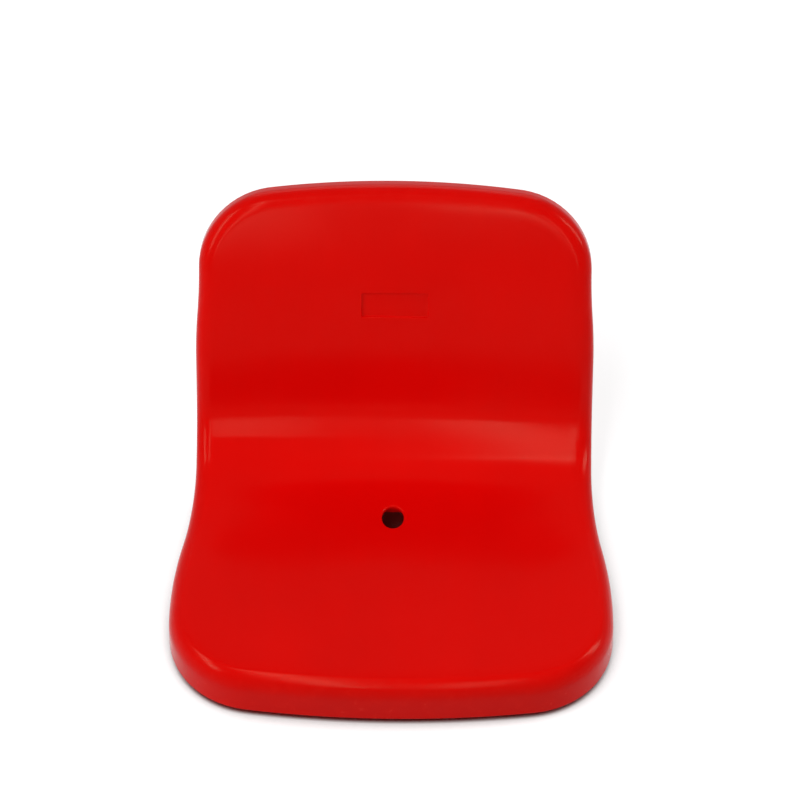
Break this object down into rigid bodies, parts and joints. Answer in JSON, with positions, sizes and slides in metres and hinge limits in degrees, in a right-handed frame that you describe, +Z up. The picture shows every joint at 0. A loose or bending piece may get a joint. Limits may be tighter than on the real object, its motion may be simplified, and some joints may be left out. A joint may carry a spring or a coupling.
{
  "type": "stadium seat",
  "caption": "One-piece moulded bucket stadium seat with a rolled rim, ribbed underside and drain hole, bolted to low steel bars with threaded feet.",
  "frame": {"origin": "middle of the four deck bolts, on the deck plane under the feet of the two bars", "axes": "+Z up out of the deck; +X along the row of seats, to the right when facing the seat; +Y from the front lip towards the back"},
  "size_m": [0.43, 0.434, 0.3045],
  "materials": {
    "shell_plastic": "satin moulded polypropylene with a fine grain",
    "zinc_steel": "hot-dip galvanised, dull",
    "fastener_steel": "bright zinc plated",
    "insert_brass": "turned and knurled"
  },
  "bodies": {
    "root": {"seat_shell": "shell_plastic", "left_bar": "zinc_steel", "right_bar": "zinc_steel", "thread_inserts": "insert_brass", "flat_washers": "fastener_steel", "spring_washers": "fastener_steel", "seat_bolts": "fastener_steel", "weld_nuts": "fastener_steel"}
  },
  "joints": []
}
